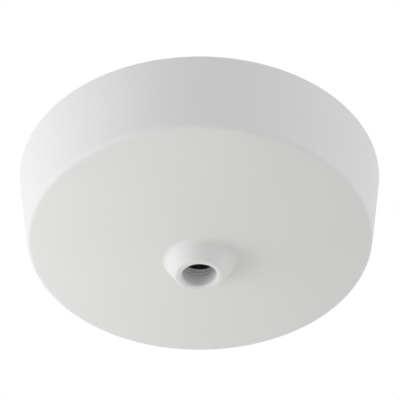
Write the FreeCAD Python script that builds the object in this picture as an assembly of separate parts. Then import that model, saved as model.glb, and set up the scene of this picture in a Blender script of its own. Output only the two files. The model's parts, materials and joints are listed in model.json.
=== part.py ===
import FreeCAD, Part

import math
import os

V = FreeCAD.Vector

# Electrical ceiling rose, in millimetres.
# The ceiling is the plane z = 0 and the rose hangs below it, so depths are negative z.
# X runs along the line of the two fixing slots.

# Cover moulding
cover_rim_r = 50.0  # outside radius at the ceiling
cover_taper = 3.15  # how much smaller the wall is where it meets the face
cover_wall_h = 22.8  # ceiling to the corner of wall and face
cover_wall_t = 2.0
face_rise = 6.0  # bulge of the domed face below that corner
face_t = 1.6
corner_ease = 1.2  # width of face taken up by the rounding of the corner
inside_ease = 0.8  # the same inside
rim_gap = 0.4  # the rim stops this far short of the ceiling

# Flex outlet in the middle of the cover
outlet_root_r = 8.8  # the cone's flank, carried on to the face
outlet_tip_r = 6.6
outlet_h = 5.0
outlet_bore_r = 4.6
outlet_root_ease = 1.8  # flare of the flank into the face
outlet_tip_ease = 0.35  # rounding of the tip's outer edge
outlet_lip_ease = 0.75  # rounding of the bore's edge at the tip
lip_ease_share = 0.45  # most of the lip's width that either rounding may take up
bore_end_ease = 0.4  # rounding of the bore's inner end
bore_ring_count = 2  # grip rings cut near the inner end of the bore
bore_ring_start = 0.35  # plain bore between the inner end and the rings
bore_ring_pitch = 1.0
bore_ring_w = 0.6
bore_ring_depth = 0.35

# Coarse right-hand thread between cover and base
thread_pitch = 4.0
thread_h = 1.2
thread_crest_w = 1.0
thread_root_w = 1.9
thread_sink = 0.3  # how deep a thread's root is set into its wall
thread_clear = 0.3  # room between the two crests
thread_margin = 0.3  # plain edge left beyond each end of the thread

# Base moulding
plate_t = 3.0
skirt_t = 2.2
skirt_h = 10.0  # ceiling to the lower edge of the skirt
skirt_chamfer = 0.6
back_recess = 0.8  # hollow of the back inside its seating rim
back_rim_w = 4.2

# Fixing slots to the ceiling box
fixing_span = 50.8
fixing_slot_w = 4.6
fixing_slot_l = 9.0
fixing_pad_w = 11.0
fixing_pad_t = 1.0

# Cable entry through the base
entry_l = 34.0
entry_w = 12.0
entry_margin = 3.4  # plate left between the terminal row and the entry
entry_rim_w = 2.2

# Brass terminal bars, one way for each conductor
row_banks = (("neutral", 3), ("loop", 3), ("switched_line", 2))
earth_ways = 3
way_pitch = 6.6
bar_w = 6.4
bar_h = 9.0
bar_round = 1.0
wire_bore_r = 1.8
wire_depth = 3.2  # seat of the bar to the axis of its wire bores

# Pockets of the base that hold the bars
seat_t = 1.2  # pocket floor above the plate
pocket_clear = 0.2
pocket_wall = 1.4
pocket_h = 7.0
notch_w = 4.4
tab_w = 4.0  # end tabs with a nib that hooks under the bar
nib_reach = 0.6
nib_h = 1.1
nib_clear = 0.1
row_gap = 2.6  # pads of the fixing slots to the terminal row
bank_gap = 0.8  # loop shroud to the pocket beside it

# Terminal screws
screw_r = 1.45
screw_clear = 0.05
screw_l = 5.6
screw_lift = 1.2  # the screws are backed off the bar by this much
head_r = 2.5
head_h = 1.9
head_chamfer = 0.5
drive_w = 0.8
drive_depth = 0.9

# Clip-on shroud over the loop terminal
shroud_wall = 1.2
shroud_clear = 0.15
shroud_head_room = 0.8
shroud_round = 0.6
driver_hole_r = 2.0
clip_w = 4.0
clip_h = 4.2
barb_reach = 0.7
barb_h = 1.4
barb_clear = 0.1

# Flex anchor posts
post_span = 17.0
post_w = 4.0
post_t = 2.6
post_h = 13.0
post_head_over = 1.7
post_head_t = 1.8
post_round = 0.6
post_gap = 3.0  # posts to the terminal row, clear of the fixing pads
earth_gap = 8.0  # posts to the earth terminal's pocket

# How closely an edge's place is matched when it is picked
edge_tol = 1e-4

# Levels below the ceiling
corner_z = -cover_wall_h
crown_z = corner_z - face_rise
tip_z = crown_z - outlet_h
plate_z = -plate_t
seat_z = plate_z - seat_t
wire_z = seat_z - wire_depth
bar_z = seat_z - bar_h
pocket_z = seat_z - pocket_h
head_z = bar_z - screw_lift
shroud_in_z = head_z - head_h - shroud_head_room
shroud_z = shroud_in_z - shroud_wall

# The cover's wall is a cone and its face part of a ball
cover_slope = cover_taper / cover_wall_h
cover_corner_r = cover_rim_r - cover_taper
ball_r = (cover_corner_r**2 + face_rise**2) / (2 * face_rise)
ball_z = crown_z + ball_r


def cover_outer_r(z):
    """Outside radius of the cover's wall at a level."""
    return cover_rim_r + cover_slope * z


def cover_inner_r(z):
    """Inside radius of the cover's wall at a level."""
    return cover_outer_r(z) - cover_wall_t * math.hypot(1, cover_slope)


def face_z(r, inset=0.0):
    """Level of the domed face at a radius, or of its inside for an inset."""
    return ball_z - math.sqrt((ball_r - inset) ** 2 - r**2)


# Radii of the thread and the base, from the narrowest wall that the thread meets
cover_crest_r = cover_inner_r(-skirt_h) - thread_h
base_crest_r = cover_crest_r - thread_clear
skirt_r = base_crest_r - thread_h
skirt_inner_r = skirt_r - skirt_t
base_thread_z = -skirt_h + thread_margin + thread_root_w / 2
cover_thread_z = base_thread_z + thread_crest_w  # the cover hangs crest over crest
thread_reach = -rim_gap - thread_margin - thread_root_w / 2 - cover_thread_z

# Places of the rows across the base
pocket_half_w = bar_w / 2 + pocket_clear
pocket_outer_w = pocket_half_w + pocket_wall
row_y = fixing_pad_w / 2 + row_gap - pocket_wall + pocket_outer_w
entry_y = row_y + pocket_outer_w + entry_margin + entry_w / 2
post_y = row_y - pocket_outer_w - post_gap - fixing_pad_w / 2
earth_y = post_y - post_t / 2 - earth_gap - pocket_outer_w
bar_gap = 2 * (pocket_clear + pocket_wall) + shroud_clear + shroud_wall + bank_gap


def bar_length(ways):
    return ways * way_pitch


def way_places(ways):
    """Distance of each way from the middle of its bar."""
    return [(i - (ways - 1) / 2) * way_pitch for i in range(ways)]


def bank_places():
    """Each bar's name, number of ways and middle, in the row and at the earth."""
    ways_in_row = sum(ways for _, ways in row_banks)
    x = -(bar_length(ways_in_row) + bar_gap * (len(row_banks) - 1)) / 2
    places = []
    for name, ways in row_banks:
        places.append((name, ways, V(x + bar_length(ways) / 2, row_y, 0)))
        x += bar_length(ways) + bar_gap
    places.append(("earth", earth_ways, V(0, earth_y, 0)))
    return places


def block(half_x, half_y, z_low, z_high):
    """Box centred on the Z axis."""
    return Part.makeBox(2 * half_x, 2 * half_y, z_high - z_low, V(-half_x, -half_y, z_low))


def disc(r, z_low, z_high):
    return Part.makeCylinder(r, z_high - z_low, V(0, 0, z_low))


def obround(length, width, z_low, z_high, centre=V(0, 0, 0)):
    """Slot-shaped prism, long way along X."""
    r = width / 2
    x = length / 2 - r
    edges = [
        Part.makeLine(V(-x, -r, 0), V(x, -r, 0)),
        Part.Arc(V(x, -r, 0), V(x + r, 0, 0), V(x, r, 0)).toShape(),
        Part.makeLine(V(x, r, 0), V(-x, r, 0)),
        Part.Arc(V(-x, r, 0), V(-x - r, 0, 0), V(-x, -r, 0)).toShape(),
    ]
    face = Part.Face(Part.Wire(edges))
    face.translate(centre + V(0, 0, z_low))
    return face.extrude(V(0, 0, z_high - z_low))


def prism_along_y(points, width):
    """Outline of (x, z) points, extruded along Y about the middle."""
    corners = [V(x, -width / 2, z) for x, z in points]
    return Part.Face(Part.makePolygon(corners + corners[:1])).extrude(V(0, width, 0))


def mirrored_ends(shape):
    """A shape and its mirror image at the other end of a bar."""
    return [shape, shape.mirror(V(0, 0, 0), V(1, 0, 0))]


def fused(first, others):
    return first.multiFuse(others).removeSplitter()


def chamfer_edges_at(shape, r, z, size):
    """Chamfer the circular edges of a radius at a level."""
    found = []
    for edge in shape.Edges:
        curve = edge.Curve
        if isinstance(curve, Part.Circle) and math.isclose(curve.Radius, r, abs_tol=edge_tol):
            if math.isclose(curve.Center.z, z, abs_tol=edge_tol):
                found.append(edge)
    return shape.makeChamfer(size, found)


def along(start, end, distance):
    """Point at a distance from start on the way to end."""
    return start + (end - start).normalize() * distance


def crossing(p, u, q, w):
    """Where the line through p along u meets the line through q along w, in the XZ plane."""
    across = u.x * w.z - u.z * w.x
    s = ((q.x - p.x) * w.z - (q.z - p.z) * w.x) / across
    return p + u * s


def face_point(r, inset=0.0):
    return V(r, 0, face_z(r, inset))


def face_tangent(r, inset=0.0):
    return V(ball_z - face_z(r, inset), 0, r)


def face_arc(r_from, r_to, inset=0.0):
    """Section of the face between two radii."""
    radii = (r_from, (r_from + r_to) / 2, r_to)
    return Part.Arc(*[face_point(r, inset) for r in radii]).toShape()


def corner_arc(before, corner, after, ease):
    """Arc that eases a corner, touching its two sides at the same distance from it."""
    start = along(corner, before, ease)
    end = along(corner, after, ease)
    half_angle = (before - corner).getAngle(after - corner) / 2
    depth = ease * (1 / math.cos(half_angle) - math.tan(half_angle))
    middle = along(corner, (start + end) / 2, depth)
    return Part.Arc(start, middle, end).toShape()


def eased_run(points, eases):
    """Straight runs through the points, with an arc at each inner corner."""
    edges = []
    start = points[0]
    for before, corner, after, ease in zip(points, points[1:], points[2:], eases):
        arc = corner_arc(before, corner, after, ease)
        edges += [Part.makeLine(start, arc.firstVertex().Point), arc]
        start = arc.lastVertex().Point
    return edges + [Part.makeLine(start, points[-1])]


def face_turn(start, way, edge_r, inset=0.0):
    """Arc that eases the corner between a straight side and the face, which it meets at a radius."""
    edge = face_point(edge_r, inset)
    corner = crossing(start, way, edge, face_tangent(edge_r, inset))
    return corner_arc(start, corner, edge, edge.distanceToPoint(corner))


def grip_rings(end_z):
    """Section of the grip rings, upwards, in the bore below its inner end."""
    points = []
    for i in reversed(range(bore_ring_count)):
        high = end_z - bore_ring_start - i * bore_ring_pitch
        low = high - bore_ring_w
        for depth, z in ((0, low), (bore_ring_depth, low), (bore_ring_depth, high), (0, high)):
            points.append(V(outlet_bore_r + depth, 0, z))
    return points


def cover_shell():
    """Wall, domed face and outlet cone, turned from one section with eased corners."""
    rim_inner = V(cover_inner_r(-rim_gap), 0, -rim_gap)
    rim_outer = V(cover_outer_r(-rim_gap), 0, -rim_gap)
    tip = V(outlet_tip_r, 0, tip_z)
    lip = V(outlet_bore_r, 0, tip_z)
    face_edge_r = cover_corner_r - corner_ease
    inside_edge_r = cover_inner_r(corner_z) - inside_ease
    root_edge_r = outlet_root_r + outlet_root_ease
    bore_edge_r = outlet_bore_r + bore_end_ease
    wall_way = V(cover_slope, 0, 1)
    outer_turn = face_turn(rim_outer, wall_way, face_edge_r)
    inner_turn = face_turn(rim_inner, wall_way, inside_edge_r, face_t)
    root_turn = face_turn(tip, face_point(outlet_root_r) - tip, root_edge_r)
    bore_turn = face_turn(lip, V(0, 0, 1), bore_edge_r, face_t)
    bore_end = bore_turn.firstVertex().Point
    bore = grip_rings(bore_end.z) + [bore_end]
    ease_room = lip_ease_share * (outlet_tip_r - outlet_bore_r)
    lip_eases = [min(outlet_tip_ease, ease_room), min(outlet_lip_ease, ease_room)]
    section = [Part.makeLine(rim_inner, rim_outer)]
    section += [Part.makeLine(rim_outer, outer_turn.firstVertex().Point), outer_turn]
    section += [face_arc(face_edge_r, root_edge_r), root_turn]
    section += eased_run([root_turn.firstVertex().Point, tip, lip, bore[0]], lip_eases)
    section += [Part.makeLine(p, q) for p, q in zip(bore, bore[1:])]
    section += [bore_turn, face_arc(bore_edge_r, inside_edge_r, face_t), inner_turn]
    section += [Part.makeLine(inner_turn.firstVertex().Point, rim_inner)]
    return Part.Face(Part.Wire(section)).revolve(V(0, 0, 0), V(0, 0, 1), 360)


def thread_ridge(root_r, crest_r, z):
    """Helical ridge that starts at a level and climbs towards the ceiling."""
    half_root = thread_root_w / 2
    half_crest = thread_crest_w / 2
    corners = [
        V(root_r, 0, -half_root),
        V(crest_r, 0, -half_crest),
        V(crest_r, 0, half_crest),
        V(root_r, 0, half_root),
    ]
    helix = Part.Wire(Part.makeHelix(thread_pitch, thread_reach, crest_r))
    ridge = helix.makePipeShell([Part.makePolygon(corners + corners[:1])], True, True)
    ridge.translate(V(0, 0, z))
    return ridge


def cover():
    """The drum-shaped cover with its inside thread."""
    thread = thread_ridge(cover_inner_r(0) + thread_sink, cover_crest_r, cover_thread_z)
    return fused(cover_shell(), [thread])


def base_plate():
    """Plate and skirt with the outside thread."""
    shell = disc(skirt_r, -skirt_h, 0).cut(disc(skirt_inner_r, -skirt_h, plate_z))
    shell = chamfer_edges_at(shell, skirt_inner_r, -skirt_h, skirt_chamfer)
    return fused(shell, [thread_ridge(skirt_r - thread_sink, base_crest_r, base_thread_z)])


def fixing_centres():
    return [V(-fixing_span / 2, 0, 0), V(fixing_span / 2, 0, 0)]


def fixing_pad(centre, z_low, z_high):
    """Thickening round a fixing slot."""
    length = fixing_slot_l + fixing_pad_w - fixing_slot_w
    return obround(length, fixing_pad_w, z_low, z_high, centre)


def back_hollow():
    """Hollow of the back, which leaves the seating rim and the edges of the openings."""
    hollow = disc(skirt_r - back_rim_w, -back_recess, 0)
    entry_rim = obround(
        entry_l + 2 * entry_rim_w,
        entry_w + 2 * entry_rim_w,
        -back_recess,
        0,
        V(0, entry_y, 0),
    )
    pads = [fixing_pad(centre, -back_recess, 0) for centre in fixing_centres()]
    return hollow.cut([entry_rim] + pads)


def wire_notches(ways):
    """U-shaped notches in both long walls of a pocket, one for each way."""
    notches = []
    for x in way_places(ways):
        throat = block(notch_w / 2, pocket_outer_w, pocket_z, wire_z)
        round_end = Part.makeCylinder(
            notch_w / 2, 2 * pocket_outer_w, V(0, -pocket_outer_w, wire_z), V(0, 1, 0)
        )
        notches += [shape.translated(V(x, 0, 0)) for shape in (throat, round_end)]
    return notches


def end_tab(half_l):
    """Tab at the end of a pocket, with a nib hooked under the bar."""
    nib_top = bar_z - nib_clear
    return prism_along_y(
        [
            (half_l, pocket_z),
            (half_l, nib_top),
            (half_l - nib_reach, nib_top),
            (half_l, nib_top - nib_h),
            (half_l + pocket_wall, nib_top - nib_h),
            (half_l + pocket_wall, pocket_z),
        ],
        tab_w,
    )


def barb_level():
    """Lower face of the shroud's barbs."""
    return pocket_z + clip_h - barb_h


def clip_window(half_l):
    """Window in a pocket's end wall for a barb of the shroud."""
    z_low = barb_level() - barb_clear
    z_high = barb_level() + barb_h + barb_clear
    window = block(pocket_wall, clip_w / 2 + shroud_clear, z_low, z_high)
    return window.translated(V(half_l + pocket_wall, 0, 0))


def pocket(ways, has_windows):
    """Seat and walls that hold one terminal bar."""
    half_l = bar_length(ways) / 2 + pocket_clear
    walls = block(half_l + pocket_wall, pocket_outer_w, pocket_z, plate_z)
    walls = walls.cut(block(half_l, pocket_half_w, pocket_z, seat_z))
    walls = walls.cut(wire_notches(ways))
    walls = fused(walls, mirrored_ends(end_tab(half_l)))
    if has_windows:
        walls = walls.cut(mirrored_ends(clip_window(half_l)))
    return walls


def anchor_post():
    """T-shaped post that the flex cores hook over."""
    half = post_w / 2
    wide = half + post_head_over
    low = plate_z - post_h
    post = prism_along_y(
        [
            (-half, plate_z),
            (-half, low + post_head_t),
            (-wide, low + post_head_t),
            (-wide, low),
            (wide, low),
            (wide, low + post_head_t),
            (half, low + post_head_t),
            (half, plate_z),
        ],
        post_t,
    )
    ends = [e for e in post.Edges if e.BoundBox.ZMax < low + edge_tol]
    return post.makeFillet(post_round, ends)


def base():
    """The moulded base: plate, skirt, pads, pockets and posts, with its openings."""
    pads = [fixing_pad(centre, plate_z - fixing_pad_t, plate_z) for centre in fixing_centres()]
    pockets = [pocket(ways, name == "loop").translated(at) for name, ways, at in bank_places()]
    posts = [anchor_post().translated(V(x, post_y, 0)) for x in (-post_span / 2, post_span / 2)]
    body = fused(base_plate(), pads + pockets + posts)
    slots = [
        obround(fixing_slot_l, fixing_slot_w, plate_z - fixing_pad_t, 0, centre)
        for centre in fixing_centres()
    ]
    entry = obround(entry_l, entry_w, plate_z, 0, V(0, entry_y, 0))
    return body.cut(slots + [entry, back_hollow()])


def terminal_bar(ways):
    """Extruded brass bar with a wire bore and a tapped hole for each way."""
    length = bar_length(ways)
    bar = block(length / 2, bar_w / 2, bar_z, seat_z)
    long_edges = [e for e in bar.Edges if e.BoundBox.XLength > length - edge_tol]
    bar = bar.makeFillet(bar_round, long_edges)
    for x in way_places(ways):
        wire_bore = Part.makeCylinder(wire_bore_r, bar_w, V(x, -bar_w / 2, wire_z), V(0, 1, 0))
        tapped = Part.makeCylinder(screw_r + screw_clear, wire_z - bar_z, V(x, 0, bar_z))
        bar = bar.cut([wire_bore, tapped])
    return bar


def terminal_screw():
    """Slotted cheese-head screw, head down."""
    low = head_z - head_h
    head = chamfer_edges_at(disc(head_r, low, head_z), head_r, low, head_chamfer)
    screw = fused(head, [disc(screw_r, head_z, head_z + screw_l)])
    return screw.cut(block(head_r, drive_w / 2, low, low + drive_depth))


def terminal_screws(ways):
    """The screws of one bar, as separate solids."""
    return Part.Compound([terminal_screw().translated(V(x, 0, 0)) for x in way_places(ways)])


def clip_leg(inner_x):
    """Leg at the end of the shroud, with the barb that holds it on the pocket."""
    top = pocket_z + clip_h
    barb_z = barb_level()
    return prism_along_y(
        [
            (inner_x, pocket_z),
            (inner_x, barb_z),
            (inner_x - shroud_clear - barb_reach, barb_z),
            (inner_x, top),
            (inner_x + shroud_wall, top),
            (inner_x + shroud_wall, pocket_z),
        ],
        clip_w,
    )


def loop_shroud(ways):
    """Clip-on trough over the loop terminal, with a driver hole under each screw."""
    inner_x = bar_length(ways) / 2 + pocket_clear + pocket_wall + shroud_clear
    trough = block(inner_x + shroud_wall, pocket_outer_w, shroud_z, pocket_z)
    floor_edges = [e for e in trough.Edges if e.BoundBox.ZMax < shroud_z + edge_tol]
    trough = trough.makeFillet(shroud_round, floor_edges)
    trough = trough.cut(block(inner_x, pocket_half_w, shroud_in_z, pocket_z))
    trough = fused(trough, mirrored_ends(clip_leg(inner_x)))
    holes = [disc(driver_hole_r, shroud_z, shroud_in_z).translated(V(x, 0, 0)) for x in way_places(ways)]
    return trough.cut(holes)


def pieces():
    """Every piece of the rose by name, in its place."""
    made = {"cover": cover(), "base": base()}
    for name, ways, at in bank_places():
        made[f"{name}_terminal"] = terminal_bar(ways).translated(at)
        made[f"{name}_terminal_screws"] = terminal_screws(ways).translated(at)
        if name == "loop":
            made["loop_shroud"] = loop_shroud(ways).translated(at)
    return made


def main():
    os.makedirs("parts", exist_ok=True)
    for name, shape in pieces().items():
        shape.exportStep(f"parts/{name}.step")
        print(name, shape.isValid(), len(shape.Solids), round(shape.Volume, 1))


main()
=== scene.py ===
import json
import math

import bmesh
import bpy
from bpy.props import FloatProperty, FloatVectorProperty, IntProperty, PointerProperty
from mathutils import Matrix, Vector


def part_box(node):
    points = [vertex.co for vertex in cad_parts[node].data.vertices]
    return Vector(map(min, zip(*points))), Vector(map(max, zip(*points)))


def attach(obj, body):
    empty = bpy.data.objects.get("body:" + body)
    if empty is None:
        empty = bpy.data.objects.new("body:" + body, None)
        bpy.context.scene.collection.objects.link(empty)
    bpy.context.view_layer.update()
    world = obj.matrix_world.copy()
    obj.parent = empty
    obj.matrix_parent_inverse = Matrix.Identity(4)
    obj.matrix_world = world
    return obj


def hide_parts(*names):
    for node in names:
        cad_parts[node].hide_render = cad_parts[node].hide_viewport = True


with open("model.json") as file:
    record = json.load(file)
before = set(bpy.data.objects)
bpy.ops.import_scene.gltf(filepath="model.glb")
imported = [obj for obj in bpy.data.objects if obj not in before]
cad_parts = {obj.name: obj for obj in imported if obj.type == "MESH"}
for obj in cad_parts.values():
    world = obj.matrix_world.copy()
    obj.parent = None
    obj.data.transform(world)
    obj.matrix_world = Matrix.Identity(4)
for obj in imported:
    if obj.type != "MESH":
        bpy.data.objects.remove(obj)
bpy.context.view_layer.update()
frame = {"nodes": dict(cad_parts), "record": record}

bl_info = {
    "name": "Ceiling rose finish",
    "version": (1, 0, 0),
    "blender": (4, 5, 0),
    "location": "3D View > Sidebar > Ceiling rose",
    "description": "Turns the solids of a ceiling rose into finished mouldings, brass and screws",
    "category": "Object",
}

BANK_WAYS = {"neutral": 3, "loop": 3, "switched_line": 2, "earth": 3}
OWN_PLACE = "own_place"  # attribute that keeps a point's place on its own screw
MM = 0.001  # one millimetre, in metres
FULL_TURN = 2 * math.pi

# Fineness of the meshes: steps along an arc or a run, and columns round one turn
ARC_STEPS = 10
SCREW_ARC_STEPS = 4
FACE_STEPS = 24
COVER_COLUMNS = 256
COVER_THREAD_COLUMNS = 160
SCREW_COLUMNS = 40
SCREW_THREAD_COLUMNS = 32
CARD_POINTS = 32
SEAM_GAP = 1e-8  # points this close are one, where a turned mesh meets its axis
WELD_GAP = 1e-7  # points this close are one, in a solid's mesh
CORNER_ROUNDS = 20  # repeats that home in on the cover's inside corner

GUARD_SHARE = 1.5  # how far an outline's guard points stand from an eased corner, in eases
GUARD_ROOM = 0.4  # most of the free run between two eased corners that a guard point takes up
COVER_THREAD_FADE = 0.05  # part of a turn in which the cover's thread rises or sinks
SCREW_THREAD_FADE = 0.4  # part of a turn in which a screw's thread rises or sinks
SCREW_THREAD_HALF = 0.45  # half the width of a screw's thread at its root, in pitches
SLOT_TURN = math.radians(137.5)  # from one screw's slot to the next one's
SHARP_ANGLE = math.radians(32)  # edges over this look sharp on the turned pieces
FLAT_ANGLE = math.radians(0.5)  # faces of a solid within this are made one
BREAK_ANGLE = math.radians(38)  # edges of a solid over this are broken

# Bearing from the camera's side and drop below the horizon in degrees, distance and side in metres
LAMPS = {
    "left_lamp": (272, 21, 0.4, 0.25),
    "right_lamp": (90, 0, 0.7, 0.4),
    "far_lamp": (180, 10, 0.7, 0.4),
}

cover_low, cover_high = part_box("cover")
screw_low, screw_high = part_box("neutral_terminal_screws")


def length(name, default, description):
    """A size in metres."""
    return FloatProperty(
        name=name, description=description, default=default, min=0.0, unit="LENGTH", precision=5
    )


def colour(name, default, description):
    """A colour in linear red, green and blue."""
    return FloatVectorProperty(
        name=name, description=description, default=default, size=3, min=0.0, max=1.0, subtype="COLOR"
    )


def share(name, default, description):
    """A value from 0 to 1."""
    return FloatProperty(
        name=name, description=description, default=default, min=0.0, max=1.0, subtype="FACTOR"
    )


def lamp_power(name, default, description):
    """The power of a lamp in watts."""
    return FloatProperty(
        name=name, description=description, default=default, min=0.0, subtype="POWER", precision=4
    )


class RoseCoverSizes(bpy.types.PropertyGroup):
    """Section of the drum-shaped cover."""

    rim_radius: length("Rim radius", 0.05, "Outside radius of the wall, carried on to the ceiling")
    taper: length("Taper", 0.00315, "How much smaller the wall is where it meets the face")
    wall_height: length("Wall height", 0.0228, "Ceiling to the corner of wall and face")
    wall: length("Wall", 0.002, "Thickness of the wall")
    face: length("Face", 0.0016, "Thickness of the face")
    face_rise: length("Face rise", 0.006, "Bulge of the domed face below its corner")
    corner_ease: length("Corner ease", 0.0012, "Rounding of the corner of wall and face")
    inside_ease: length("Inside ease", 0.0008, "Rounding of that corner inside")
    rim_ease: length("Rim ease", 0.00025, "Rounding of the rim's two edges")
    root_radius: length("Cone root radius", 0.0092, "Radius of the outlet cone, carried on to the face")
    tip_radius: length("Cone tip radius", 0.0066, "Radius of the outlet cone at its tip")
    bore_radius: length("Bore radius", 0.0046, "Radius of the flex outlet")
    root_ease: length("Cone root ease", 0.001, "Flare of the cone into the face")
    tip_ease: length("Cone tip ease", 0.0005, "Rounding of the tip's outer edge")
    lip_ease: length("Lip ease", 0.001, "Rounding of the bore's edge at the tip")
    end_ease: length("Bore end ease", 0.0004, "Rounding of the bore's inner end")
    ring_start: length("Ring start", 0.00035, "Plain bore between the inner end and the grip rings")
    ring_pitch: length("Ring pitch", 0.001, "Spacing of the grip rings at the inner end of the bore")
    ring_width: length("Ring width", 0.0006, "Width of a grip ring")
    ring_depth: length("Ring depth", 0.00035, "Depth of a grip ring")
    ring_count: IntProperty(name="Rings", description="Grip rings in the bore", default=2, min=0)
    thread_start: length("Thread start", 0.00775, "Depth below the ceiling where the thread starts")
    thread_reach: length("Thread reach", 0.0061, "Height that the thread climbs")
    thread_pitch: length("Thread pitch", 0.004, "Climb of the thread in one turn")
    thread_crest: length("Thread crest radius", 0.0454, "Radius of the thread's crest")
    thread_crest_width: length("Thread crest width", 0.001, "Width of the thread at its crest")
    thread_root_width: length("Thread root width", 0.0019, "Width of the thread at its root")


class RoseScrewSizes(bpy.types.PropertyGroup):
    """One slotted cheese-head terminal screw."""

    head_radius: length("Head radius", (screw_high.y - screw_low.y) / 2, "Radius of the head")
    head_height: length("Head height", 0.0019, "Height of the head")
    head_ease: length("Head ease", 0.0005, "Rounding of the head's edge")
    shank_radius: length("Shank radius", 0.00145, "Radius over the thread")
    thread_pitch: length("Thread pitch", 0.0005, "Climb of the thread in one turn")
    thread_depth: length("Thread depth", 0.00028, "Depth of the thread")
    slot_width: length("Slot width", 0.0008, "Width of the driver slot")
    slot_depth: length("Slot depth", 0.0009, "Depth of the driver slot")


class RoseFinish(bpy.types.PropertyGroup):
    """Colours and gloss of the rose."""

    cover_white: colour("Cover", (0.72, 0.725, 0.717), "White of the cover moulding")
    base_white: colour("Base", (0.72, 0.715, 0.69), "Off-white of the base moulding")
    shroud_white: colour("Shroud", (0.76, 0.76, 0.75), "White of the shroud moulding")
    brass: colour("Brass", (0.77, 0.56, 0.26), "Bright drawn brass")
    tarnish: colour("Tarnish", (0.46, 0.29, 0.11), "Brass where it has dulled")
    zinc: colour("Zinc", (0.66, 0.655, 0.63), "Bright zinc plate")
    passivate: colour("Passivate", (0.62, 0.56, 0.42), "Yellow cast of the plate")
    cover_roughness: share("Cover roughness", 0.48, "Roughness of the satin-gloss cover")
    cover_specular: share("Cover specular", 0.09, "Strength of the cover's mirror reflection")
    base_roughness: share("Base roughness", 0.5, "Roughness of the textured base and shroud")
    edge_break: length("Edge break", 0.00012, "Rounding of the edges of base, shroud and terminals")


class RoseStage(bpy.types.PropertyGroup):
    """Camera, lamps and floor."""

    camera_distance: length("Camera distance", 0.6, "Camera to its target")
    camera_drop: FloatProperty(
        name="Camera drop",
        description="How far below the horizon the camera stands",
        default=math.radians(41.55),
        subtype="ANGLE",
    )
    camera_target: FloatProperty(
        name="Camera target",
        description="Level of the point that the camera looks at",
        default=-0.00635,
        unit="LENGTH",
        precision=5,
    )
    camera_aside: length("Camera aside", 0.00014, "How far to the right of the axis the camera looks")
    lens: FloatProperty(
        name="Lens", description="Focal length on a 36 mm sensor", default=195.35, unit="CAMERA"
    )
    entry_length: length("Entry length", 0.034, "Length of the cable entry that the ceiling closes")
    card_depth: length("Card depth", 0.0015, "How far inside the base's openings their cards lie")
    floor_depth: length("Floor depth", 1.0, "Ceiling to the floor")
    floor_size: length("Floor size", 8.0, "Side of the floor")
    floor_white: colour("Floor", (0.88, 0.88, 0.87), "Pale floor")
    floor_lift: share("Floor lift", 0.36, "How much brighter the floor looks than it is lit")
    ambient: share("Ambient", 0.793, "Strength of the even light all round")
    left_lamp: lamp_power("Left lamp", 0.8, "Power of the soft lamp on the left")
    right_lamp: lamp_power("Right lamp", 0.68, "Power of the soft lamp on the right")
    far_lamp: lamp_power("Far lamp", 0.2, "Power of the soft lamp behind")


def point_on(start, end, distance):
    """Point at a distance from the start, on the way to the end."""
    return start + (end - start).normalized() * distance


def arc_between(start, corner, end, steps):
    """Points of the arc that touches the corner's two sides at start and end."""
    to_start = (start - corner).normalized()
    to_end = (end - corner).normalized()
    half = math.acos(max(-1.0, min(1.0, to_start.dot(to_end)))) / 2
    centre = corner + (to_start + to_end).normalized() * (start - corner).length / math.cos(half)
    sweep = -math.copysign(math.pi - 2 * half, to_start.cross(to_end))
    spoke = start - centre
    return [centre + Matrix.Rotation(sweep * i / steps, 2) @ spoke for i in range(steps + 1)]


def guard_point(corner, ease, other, other_ease):
    """Point beyond an eased corner's arc, on the way to another corner."""
    free = (other - corner).length - ease - other_ease
    return point_on(corner, other, ease + min((GUARD_SHARE - 1) * ease, GUARD_ROOM * free))


def eased_outline(corners, steps, closed=True):
    """Outline through (point, ease) corners, with an arc at each eased one and a guard point
    beyond both ends of the arc, which keeps the shading of the long runs true."""
    outline = []
    count = len(corners)
    for i, (corner, ease) in enumerate(corners):
        if ease == 0 or (not closed and i in (0, count - 1)):
            outline.append(corner)
            continue
        before, ease_before = corners[i - 1]
        after, ease_after = corners[(i + 1) % count]
        outline.append(guard_point(corner, ease, before, ease_before))
        outline += arc_between(
            point_on(corner, before, ease), corner, point_on(corner, after, ease), steps
        )
        outline.append(guard_point(corner, ease, after, ease_after))
    return outline


def new_piece(name, mesh):
    """Adds an object with that mesh to the scene."""
    piece = bpy.data.objects.new(name, mesh)
    bpy.context.scene.collection.objects.link(piece)
    return piece


def mesh_from(name, bm):
    """Turns the faces of a mesh under construction outwards and hands the mesh over."""
    bmesh.ops.recalc_face_normals(bm, faces=bm.faces)
    mesh = bpy.data.meshes.new(name)
    bm.to_mesh(mesh)
    bm.free()
    return mesh


def turned(name, outline, columns, closed=True):
    """Turns an outline of (radius, level) points about the Z axis."""
    bm = bmesh.new()
    verts = [bm.verts.new((point.x, 0, point.y)) for point in outline]
    edges = [bm.edges.new(pair) for pair in zip(verts, verts[1:])]
    if closed:
        edges.append(bm.edges.new((verts[-1], verts[0])))
    bmesh.ops.spin(
        bm,
        geom=verts + edges,
        cent=(0, 0, 0),
        axis=(0, 0, 1),
        angle=FULL_TURN,
        steps=columns,
        use_merge=True,
    )
    bmesh.ops.remove_doubles(bm, verts=bm.verts, dist=SEAM_GAP)
    return mesh_from(name, bm)


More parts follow.
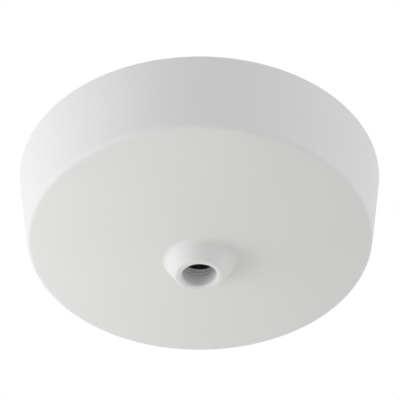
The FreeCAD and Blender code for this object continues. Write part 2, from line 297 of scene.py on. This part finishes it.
def helix_ridge(name, section, pitch, start, reach, columns, fade):
    """Sweeps a section along a helix. The section gives its (radius, level) points for a share of
    the full height, and the ridge rises from nothing and sinks again over the fade, in turns."""
    bm = bmesh.new()
    turns = reach / pitch
    count = round(turns * columns)
    rings = []
    for i in range(count + 1):
        turn = turns * i / count
        height = min(1.0, turn / fade, (turns - turn) / fade)
        spoke_x, spoke_y = math.cos(FULL_TURN * turn), math.sin(FULL_TURN * turn)
        level = start + pitch * turn
        ring = []
        for point in section(height):
            ring.append(bm.verts.new((point.x * spoke_x, point.x * spoke_y, level + point.y)))
        rings.append(ring)
    for ring, following in zip(rings, rings[1:]):
        for j in range(len(ring)):
            k = (j + 1) % len(ring)
            bm.faces.new((ring[j], ring[k], following[k], following[j]))
    bm.faces.new(rings[0])
    bm.faces.new(rings[-1])
    return mesh_from(name, bm)


def applied(piece):
    """Makes the piece's modifiers part of its mesh."""
    graph = bpy.context.evaluated_depsgraph_get()
    mesh = bpy.data.meshes.new_from_object(piece.evaluated_get(graph))
    piece.modifiers.clear()
    piece.data = mesh


def combined(piece, tool_mesh, operation):
    """Joins a mesh to a piece, or cuts it away."""
    tool = new_piece("tool", tool_mesh)
    modifier = piece.modifiers.new(operation.title(), "BOOLEAN")
    modifier.operation = operation
    modifier.solver = "EXACT"
    modifier.object = tool
    applied(piece)
    bpy.data.objects.remove(tool)


def smooth(piece):
    """Shades a piece smooth between its sharp edges."""
    piece.data.shade_smooth()
    piece.data.set_sharp_from_angle(angle=SHARP_ANGLE)


def finished(piece, material):
    """Gives a piece that material and no other."""
    piece.data.materials.clear()
    piece.data.materials.append(material)


class Finish:
    """One material in the making, with shorthand for its nodes."""

    def __init__(self, name):
        self.material = bpy.data.materials.new(name)
        self.material.use_nodes = True
        self.nodes = self.material.node_tree.nodes
        self.links = self.material.node_tree.links
        self.shader = self.nodes["Principled BSDF"]
        self.place = self.nodes.new("ShaderNodeTexCoord").outputs["Object"]

    def join(self, source, target):
        self.links.new(source, target)

    def stretched(self, grains):
        """Place for a noise of one grain, with that many grains in a metre along each axis."""
        mapping = self.nodes.new("ShaderNodeMapping")
        mapping.inputs["Scale"].default_value = grains
        self.join(self.place, mapping.inputs["Vector"])
        return mapping.outputs["Vector"]

    def noise(self, grains, detail=3.0, roughness=0.5, place=None):
        """Noise with about that many grains in a metre."""
        node = self.nodes.new("ShaderNodeTexNoise")
        node.inputs["Scale"].default_value = grains
        node.inputs["Detail"].default_value = detail
        node.inputs["Roughness"].default_value = roughness
        self.join(place or self.place, node.inputs["Vector"])
        return node.outputs["Fac"]

    def spread(self, value, low, high, from_low=0.3, from_high=0.7):
        """The value's middle range, spread between low and high."""
        node = self.nodes.new("ShaderNodeMapRange")
        limits = {"From Min": from_low, "From Max": from_high, "To Min": low, "To Max": high}
        for name, limit in limits.items():
            node.inputs[name].default_value = limit
        self.join(value, node.inputs["Value"])
        return node.outputs["Result"]

    def blend(self, value, first, second):
        """Colour between two, by a value from 0 to 1."""
        node = self.nodes.new("ShaderNodeMix")
        node.data_type = "RGBA"
        node.inputs["A"].default_value = (*first, 1)
        node.inputs["B"].default_value = (*second, 1)
        self.join(value, node.inputs["Factor"])
        return node.outputs["Result"]

    def bump(self, height, depth, below=None):
        """Relief of that depth in metres, over an earlier one if there is one."""
        node = self.nodes.new("ShaderNodeBump")
        node.inputs["Strength"].default_value = 1.0
        node.inputs["Distance"].default_value = depth
        self.join(height, node.inputs["Height"])
        if below:
            self.join(below, node.inputs["Normal"])
        return node.outputs["Normal"]

    def metal(self):
        self.shader.inputs["Metallic"].default_value = 1.0

    def surface(self, tint, gloss, relief=None):
        """Links the shader's colour, roughness and relief, and hands the material over."""
        self.join(tint, self.shader.inputs["Base Color"])
        self.join(gloss, self.shader.inputs["Roughness"])
        if relief:
            self.join(relief, self.shader.inputs["Normal"])
        return self.material


def shaded(tint, factor):
    """Colour made darker or lighter by a factor."""
    return tuple(min(1.0, channel * factor) for channel in tint)


def cover_moulding(finish):
    """Smooth satin-gloss white, with the faint flow and sink of a moulded face."""
    look = Finish("cover_moulding")
    white, roughness = finish.cover_white, finish.cover_roughness
    flow = look.spread(look.noise(grains=34, detail=2), low=0, high=1)
    tint = look.blend(flow, shaded(white, 0.988), shaded(white, 1.008))
    gloss = look.spread(look.noise(grains=420, detail=4), low=roughness - 0.03, high=roughness + 0.04)
    sink = look.bump(look.noise(grains=60, detail=1), depth=0.00002)
    skin = look.bump(look.noise(grains=1500, detail=2), depth=0.0000012, below=sink)
    look.shader.inputs["Specular IOR Level"].default_value = finish.cover_specular
    return look.surface(tint, gloss, skin)


def base_moulding(finish, name, white):
    """Off-white moulding with a fine spark-eroded texture."""
    look = Finish(name)
    roughness = finish.base_roughness
    flow = look.spread(look.noise(grains=90, detail=4), low=0, high=1)
    tint = look.blend(flow, shaded(white, 0.965), shaded(white, 1.015))
    gloss = look.spread(look.noise(grains=900), low=roughness - 0.06, high=roughness + 0.07)
    return look.surface(tint, gloss, look.bump(look.noise(grains=5200), depth=0.000012))


def drawn_brass(finish):
    """Brass with the lines of drawing along the bar and patches of tarnish."""
    look = Finish("drawn_brass")
    along, across = 70, 4200  # grains in a metre of the bar
    lines = look.noise(grains=1, detail=4, roughness=0.6, place=look.stretched((along, across, across)))
    dulled = look.noise(grains=330, detail=5, roughness=0.6)
    patches = look.spread(dulled, low=0, high=1, from_low=0.5, from_high=0.78)
    look.metal()
    tint = look.blend(patches, finish.brass, finish.tarnish)
    return look.surface(tint, look.spread(lines, low=0.2, high=0.42), look.bump(lines, depth=0.000006))


def zinc_plate(finish):
    """Zinc plate over turned steel, with a yellow cast and fine rings about each screw's own axis."""
    look = Finish("zinc_plate")
    own = look.nodes.new("ShaderNodeAttribute")
    own.attribute_name = OWN_PLACE
    rings = look.nodes.new("ShaderNodeTexWave")
    rings.wave_type = "RINGS"
    rings.rings_direction = "Z"
    rings.inputs["Scale"].default_value = 2600
    rings.inputs["Distortion"].default_value = 1.5
    look.join(own.outputs["Vector"], rings.inputs["Vector"])
    cast = look.spread(look.noise(grains=500), low=0, high=1, from_low=0.42, from_high=0.75)
    look.metal()
    tint = look.blend(cast, finish.zinc, finish.passivate)
    gloss = look.spread(look.noise(grains=1800), low=0.22, high=0.36)
    return look.surface(tint, gloss, look.bump(rings.outputs["Fac"], depth=0.000004))


def seen_rays(tree):
    """Value of 1 for the rays that see something straight, mirrored or through something clear."""
    path = tree.nodes.new("ShaderNodeLightPath")
    rays = path.outputs["Is Camera Ray"]
    for other in ("Is Glossy Ray", "Is Transmission Ray"):
        either = tree.nodes.new("ShaderNodeMath")
        either.operation = "MAXIMUM"
        tree.links.new(rays, either.inputs[0])
        tree.links.new(path.outputs[other], either.inputs[1])
        rays = either.outputs[0]
    return rays


def pale_floor(stage):
    """Pale floor, lifted to white where it is seen, with the rose's shadow kept."""
    look = Finish("pale_floor")
    white = stage.floor_white
    tint = look.blend(look.spread(look.noise(grains=3), low=0, high=1), shaded(white, 0.985), white)
    seen = seen_rays(look.material.node_tree)
    lift = look.spread(seen, low=0, high=stage.floor_lift, from_low=0, from_high=1)
    look.shader.inputs["Emission Color"].default_value = (1, 1, 1, 1)
    look.join(lift, look.shader.inputs["Emission Strength"])
    return look.surface(tint, look.spread(look.noise(grains=40), low=0.75, high=0.9))


def matt_card(stage):
    """Matt grey of the cards in the base's openings."""
    look = Finish("matt_card")
    white = stage.floor_white
    tint = look.blend(look.noise(grains=200), shaded(white, 0.3), shaded(white, 0.6))
    return look.surface(tint, look.spread(look.noise(grains=400), low=0.8, high=0.95))


def cover_corners(sizes):
    """Cover's section as (point, ease) corners, down the outside from the rim and back up inside."""
    rim_z, tip_z = cover_high.z, cover_low.z
    slope = sizes.taper / sizes.wall_height
    skin = sizes.wall * math.hypot(1, slope)
    corner_r = sizes.rim_radius - sizes.taper
    # The domed face is part of a ball
    ball_r = (corner_r**2 + sizes.face_rise**2) / (2 * sizes.face_rise)
    ball_z = -sizes.wall_height - sizes.face_rise + ball_r
    ring_ease = sizes.ring_width / 6

    def wall(z, inset=0.0):
        return Vector((sizes.rim_radius + slope * z - inset, z))

    def face(r, inset=0.0):
        return Vector((r, ball_z - math.sqrt((ball_r - inset) ** 2 - r**2)))

    def face_run(r_from, r_to, inset=0.0):
        radii = [r_from + (r_to - r_from) * i / FACE_STEPS for i in range(FACE_STEPS + 1)]
        return [(face(r, inset), 0) for r in radii]

    def inside_corner():
        """Where the inside of the wall meets the inside of the face."""
        z = -sizes.wall_height
        for _ in range(CORNER_ROUNDS):
            z = face(wall(z, skin).x, sizes.face).y
        return wall(z, skin)

    inner = inside_corner()
    bore_top = face(sizes.bore_radius, sizes.face)
    corners = [
        (wall(rim_z, skin), sizes.rim_ease),
        (wall(rim_z), sizes.rim_ease),
        (wall(-sizes.wall_height), sizes.corner_ease),
    ]
    face_r = corner_r - GUARD_SHARE * sizes.corner_ease
    corners += face_run(face_r, sizes.root_radius + GUARD_SHARE * sizes.root_ease)
    corners += [
        (face(sizes.root_radius), sizes.root_ease),
        (Vector((sizes.tip_radius, tip_z)), sizes.tip_ease),
        (Vector((sizes.bore_radius, tip_z)), sizes.lip_ease),
    ]
    for i in reversed(range(sizes.ring_count)):
        high = bore_top.y - sizes.end_ease - sizes.ring_start - i * sizes.ring_pitch
        low = high - sizes.ring_width
        for depth, z in ((0, low), (sizes.ring_depth, low), (sizes.ring_depth, high), (0, high)):
            corners.append((Vector((sizes.bore_radius + depth, z)), ring_ease))
    corners.append((bore_top, sizes.end_ease))
    inside_r = inner.x - GUARD_SHARE * sizes.inside_ease
    corners += face_run(sizes.bore_radius + GUARD_SHARE * sizes.end_ease, inside_r, sizes.face)
    corners.append((inner, sizes.inside_ease))
    return corners


def cover_thread(sizes):
    """Coarse ridge inside the cover's wall, which runs out at both ends."""
    half_root, half_crest = sizes.thread_root_width / 2, sizes.thread_crest_width / 2
    sink = sizes.thread_crest_width / 3
    edge_break = sizes.thread_crest_width / 8
    sunk = sizes.rim_radius - sizes.wall + sink

    def section(height):
        crest = sunk + (sizes.thread_crest - sunk) * height
        lower = [(sunk, -half_root), (crest + edge_break, -half_crest), (crest, edge_break - half_crest)]
        upper = [(r, -z) for r, z in reversed(lower)]
        return [Vector(point) for point in lower + upper]

    return helix_ridge(
        "cover_thread",
        section,
        pitch=sizes.thread_pitch,
        start=-sizes.thread_start,
        reach=sizes.thread_reach,
        columns=COVER_THREAD_COLUMNS,
        fade=COVER_THREAD_FADE,
    )


def screw_thread(sizes, core, end):
    """Fine ridge on a screw's core, from under the head to near the end."""
    sunk = core - sizes.thread_depth / 3
    half_root = sizes.thread_pitch * SCREW_THREAD_HALF
    half_crest = half_root / 5
    start = sizes.head_height + sizes.thread_pitch

    def section(height):
        crest = core + sizes.thread_depth * height
        flanks = ((sunk, -half_root), (crest, -half_crest), (crest, half_crest), (sunk, half_root))
        return [Vector(point) for point in flanks]

    return helix_ridge(
        "thread",
        section,
        pitch=sizes.thread_pitch,
        start=start,
        reach=end - sizes.thread_pitch / 2 - start,
        columns=SCREW_THREAD_COLUMNS,
        fade=SCREW_THREAD_FADE,
    )


def slot_cutter(sizes):
    """Bar twice as long as the head is wide, which lies half in the head's face."""
    bar = (4 * sizes.head_radius, sizes.slot_width, 2 * sizes.slot_depth)
    bm = bmesh.new()
    bmesh.ops.create_cube(bm, size=1)
    bmesh.ops.scale(bm, vec=bar, verts=bm.verts)
    return mesh_from("slot", bm)


def screw_mesh(sizes):
    """Slotted screw, with its head's face at level 0 and its shank upwards."""
    core = sizes.shank_radius - sizes.thread_depth
    end = screw_high.z - screw_low.z
    chamfer = sizes.thread_depth
    under_ease = sizes.head_ease / 4
    chamfer_ease = chamfer / 3
    corners = [
        (Vector((0, 0)), 0),
        (Vector((sizes.head_radius, 0)), sizes.head_ease),
        (Vector((sizes.head_radius, sizes.head_height)), under_ease),
        (Vector((core, sizes.head_height)), under_ease),
        (Vector((core, end - chamfer)), chamfer_ease),
        (Vector((core - chamfer, end)), chamfer_ease),
        (Vector((0, end)), 0),
    ]
    outline = eased_outline(corners, SCREW_ARC_STEPS, closed=False)
    screw = new_piece("screw", turned("screw", outline, SCREW_COLUMNS, closed=False))
    combined(screw, screw_thread(sizes, core, end - chamfer), "UNION")
    combined(screw, slot_cutter(sizes), "DIFFERENCE")
    mesh = screw.data
    bpy.data.objects.remove(screw)
    return mesh


def screw_places(bank):
    """Points on the axes of a bank's screws, at the faces of their heads."""
    low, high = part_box(f"{bank}_terminal_screws")
    radius = (high.y - low.y) / 2
    ways = BANK_WAYS[bank]
    pitch = (high.x - low.x - 2 * radius) / (ways - 1)
    return [Vector((low.x + radius + i * pitch, low.y + radius, low.z)) for i in range(ways)]


def soften(node, width):
    """Breaks a solid's sharp edges."""
    weld = node.modifiers.new("Weld", "WELD")
    weld.merge_threshold = WELD_GAP
    flat = node.modifiers.new("Flat faces", "DECIMATE")
    flat.decimate_type = "DISSOLVE"
    flat.angle_limit = FLAT_ANGLE
    bevel = node.modifiers.new("Edges", "BEVEL")
    bevel.width = width
    bevel.segments = 2
    bevel.limit_method = "ANGLE"
    bevel.angle_limit = BREAK_ANGLE
    normals = node.modifiers.new("Normals", "WEIGHTED_NORMAL")
    normals.keep_sharp = True


class ROSE_OT_cover(bpy.types.Operator):
    """Turn the cover from its section and add the thread inside it"""

    bl_idname = "rose.make_cover"
    bl_label = "Make the cover"

    def execute(self, context):
        sizes = context.scene.rose_cover
        outline = eased_outline(cover_corners(sizes), ARC_STEPS)
        cover = new_piece("cover_shell", turned("cover_shell", outline, COVER_COLUMNS))
        combined(cover, cover_thread(sizes), "UNION")
        smooth(cover)
        finished(cover, cover_moulding(context.scene.rose_finish))
        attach(cover, "cover")
        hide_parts("cover")
        return {"FINISHED"}


class ROSE_OT_base(bpy.types.Operator):
    """Finish the moulded base"""

    bl_idname = "rose.finish_base"
    bl_label = "Finish the base"

    def execute(self, context):
        finish = context.scene.rose_finish
        node = frame["nodes"]["base"]
        soften(node, finish.edge_break)
        finished(node, base_moulding(finish, "base_moulding", finish.base_white))
        return {"FINISHED"}


class ROSE_OT_shroud(bpy.types.Operator):
    """Finish the clip-on shroud of the loop terminal"""

    bl_idname = "rose.finish_shroud"
    bl_label = "Finish the shroud"

    def execute(self, context):
        finish = context.scene.rose_finish
        node = frame["nodes"]["loop_shroud"]
        soften(node, finish.edge_break)
        finished(node, base_moulding(finish, "shroud_moulding", finish.shroud_white))
        return {"FINISHED"}


class ROSE_OT_terminals(bpy.types.Operator):
    """Finish the brass terminal bars"""

    bl_idname = "rose.finish_terminals"
    bl_label = "Finish the terminals"

    def execute(self, context):
        finish = context.scene.rose_finish
        brass = drawn_brass(finish)
        for bank in BANK_WAYS:
            node = frame["nodes"][f"{bank}_terminal"]
            soften(node, finish.edge_break)
            finished(node, brass)
        return {"FINISHED"}


class ROSE_OT_screws(bpy.types.Operator):
    """Make the terminal screws, each turned to an angle of its own"""

    bl_idname = "rose.make_screws"
    bl_label = "Make the screws"

    def execute(self, context):
        pattern = screw_mesh(context.scene.rose_screw)
        plate = zinc_plate(context.scene.rose_finish)
        turn = 0
        for bank in BANK_WAYS:
            bm = bmesh.new()
            own = bm.verts.layers.float_vector.new(OWN_PLACE)
            for place in screw_places(bank):
                known = len(bm.verts)
                bm.from_mesh(pattern)
                bm.verts.ensure_lookup_table()
                added = bm.verts[known:]
                for vert in added:
                    vert[own] = vert.co
                turn += 1
                spin = Matrix.Rotation(SLOT_TURN * turn, 4, "Z")
                bmesh.ops.transform(bm, matrix=Matrix.Translation(place) @ spin, verts=added)
            screws = new_piece(f"{bank}_screws", mesh_from(f"{bank}_screws", bm))
            smooth(screws)
            finished(screws, plate)
            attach(screws, "base")
            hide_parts(f"{bank}_terminal_screws")
        return {"FINISHED"}


def way_back(bearing, drop):
    """Direction from the rose to something that stands at a bearing and below the horizon."""
    return Vector(
        (math.sin(bearing) * math.cos(drop), -math.cos(bearing) * math.cos(drop), -math.sin(drop))
    )


def aim_at(holder, target, back, distance):
    """Stands a lamp or camera off from a target, facing it, and adds it to the scene."""
    holder.location = target + back * distance
    holder.rotation_mode = "QUATERNION"
    holder.rotation_quaternion = (-back).to_track_quat("-Z", "Y")
    bpy.context.scene.collection.objects.link(holder)


def add_lamp(name, power):
    """Soft square lamp that the camera doesn't see, aimed at the tip of the outlet."""
    bearing, drop, distance, side = LAMPS[name]
    lamp = bpy.data.lights.new(name, "AREA")
    lamp.shape = "SQUARE"
    lamp.size = side
    lamp.energy = power
    holder = bpy.data.objects.new(name, lamp)
    holder.visible_camera = False
    back = way_back(math.radians(bearing), math.radians(drop))
    aim_at(holder, Vector((0, 0, cover_low.z)), back, distance)


def ceiling_openings(entry_length):
    """Middle, length and width of the openings in the base that the ceiling closes."""
    mounts = {mount["name"]: mount for mount in frame["record"]["mounts"]}
    openings = {opening["name"]: opening for opening in frame["record"]["physics"]["openings"]}
    slots = mounts["fixing_slots"]["dims"]
    low, high = openings["cable_entry"]["box_m"]
    entry = (0, (low[1] + high[1]) / 2, entry_length, high[1] - low[1])
    reach = slots["spacing_x_mm"] * MM / 2
    size = (slots["slot_length_mm"] * MM, 2 * slots["hole_r_mm"] * MM)
    return [entry, (-reach, 0, *size), (reach, 0, *size)]


def add_cards(stage):
    """Cards in the openings of the base, which keep out light as the ceiling does and aren't seen."""
    bm = bmesh.new()
    for x, y, long_way, width in ceiling_openings(stage.entry_length):
        r = width / 2
        run = long_way / 2 - r
        outline = []
        for i in range(CARD_POINTS):
            # Half a step keeps each spoke clear of the line between the two round ends
            spoke = Matrix.Rotation(FULL_TURN * (i + 0.5) / CARD_POINTS, 2) @ Vector((r, 0))
            side = math.copysign(run, spoke.x)
            outline.append(bm.verts.new((x + side + spoke.x, y + spoke.y, -stage.card_depth)))
        bm.faces.new(outline)
    cards = new_piece("opening_cards", mesh_from("opening_cards", bm))
    cards.visible_camera = False
    finished(cards, matt_card(stage))


def add_world(ambient):
    """Even light all round, and plain white wherever it is seen or mirrored."""
    world = bpy.data.worlds.new("studio")
    bpy.context.scene.world = world
    world.use_nodes = True
    nodes, links = world.node_tree.nodes, world.node_tree.links
    lit = nodes["Background"]
    lit.inputs["Color"].default_value = (1, 1, 1, 1)
    lit.inputs["Strength"].default_value = ambient
    seen = nodes.new("ShaderNodeBackground")
    seen.inputs["Color"].default_value = (1, 1, 1, 1)
    seen.inputs["Strength"].default_value = 1.0
    mix = nodes.new("ShaderNodeMixShader")
    links.new(seen_rays(world.node_tree), mix.inputs["Fac"])
    links.new(lit.outputs["Background"], mix.inputs[1])
    links.new(seen.outputs["Background"], mix.inputs[2])
    links.new(mix.outputs["Shader"], nodes["World Output"].inputs["Surface"])


class ROSE_OT_stage(bpy.types.Operator):
    """Set up the floor, lamps, surroundings and camera"""

    bl_idname = "rose.set_stage"
    bl_label = "Set the stage"

    def execute(self, context):
        stage = context.scene.rose_stage
        bm = bmesh.new()
        bmesh.ops.create_grid(bm, x_segments=1, y_segments=1, size=stage.floor_size / 2)
        floor = new_piece("floor", mesh_from("floor", bm))
        floor.location.z = -stage.floor_depth
        finished(floor, pale_floor(stage))
        add_cards(stage)
        for name in LAMPS:
            add_lamp(name, getattr(stage, name))
        add_world(stage.ambient)
        camera = bpy.data.objects.new("camera", bpy.data.cameras.new("camera"))
        camera.data.lens = stage.lens
        target = Vector((stage.camera_aside, 0, stage.camera_target))
        aim_at(camera, target, way_back(0, stage.camera_drop), stage.camera_distance)
        context.scene.camera = camera
        context.scene.view_settings.view_transform = "Standard"
        return {"FINISHED"}


STEPS = (ROSE_OT_cover, ROSE_OT_base, ROSE_OT_shroud, ROSE_OT_terminals, ROSE_OT_screws, ROSE_OT_stage)
GROUPS = {
    "rose_cover": RoseCoverSizes,
    "rose_screw": RoseScrewSizes,
    "rose_finish": RoseFinish,
    "rose_stage": RoseStage,
}


class ROSE_PT_panel(bpy.types.Panel):
    """Sizes, colours and steps of the ceiling rose"""

    bl_label = "Ceiling rose"
    bl_idname = "ROSE_PT_panel"
    bl_space_type = "VIEW_3D"
    bl_region_type = "UI"
    bl_category = "Ceiling rose"

    def draw(self, context):
        for name, group in GROUPS.items():
            box = self.layout.box()
            box.label(text=group.__doc__.rstrip("."))
            for prop in group.__annotations__:
                box.prop(getattr(context.scene, name), prop)
        for step in STEPS:
            self.layout.operator(step.bl_idname)


def register():
    for group in GROUPS.values():
        bpy.utils.register_class(group)
    for name, group in GROUPS.items():
        setattr(bpy.types.Scene, name, PointerProperty(type=group))
    for step in STEPS:
        bpy.utils.register_class(step)
    bpy.utils.register_class(ROSE_PT_panel)


def unregister():
    bpy.utils.unregister_class(ROSE_PT_panel)
    for step in reversed(STEPS):
        bpy.utils.unregister_class(step)
    for name in GROUPS:
        delattr(bpy.types.Scene, name)
    for group in reversed(GROUPS.values()):
        bpy.utils.unregister_class(group)


def main():
    register()
    bpy.ops.rose.make_cover()
    bpy.ops.rose.finish_base()
    bpy.ops.rose.finish_shroud()
    bpy.ops.rose.finish_terminals()
    bpy.ops.rose.make_screws()
    bpy.ops.rose.set_stage()


if __name__ == "__main__":
    main()
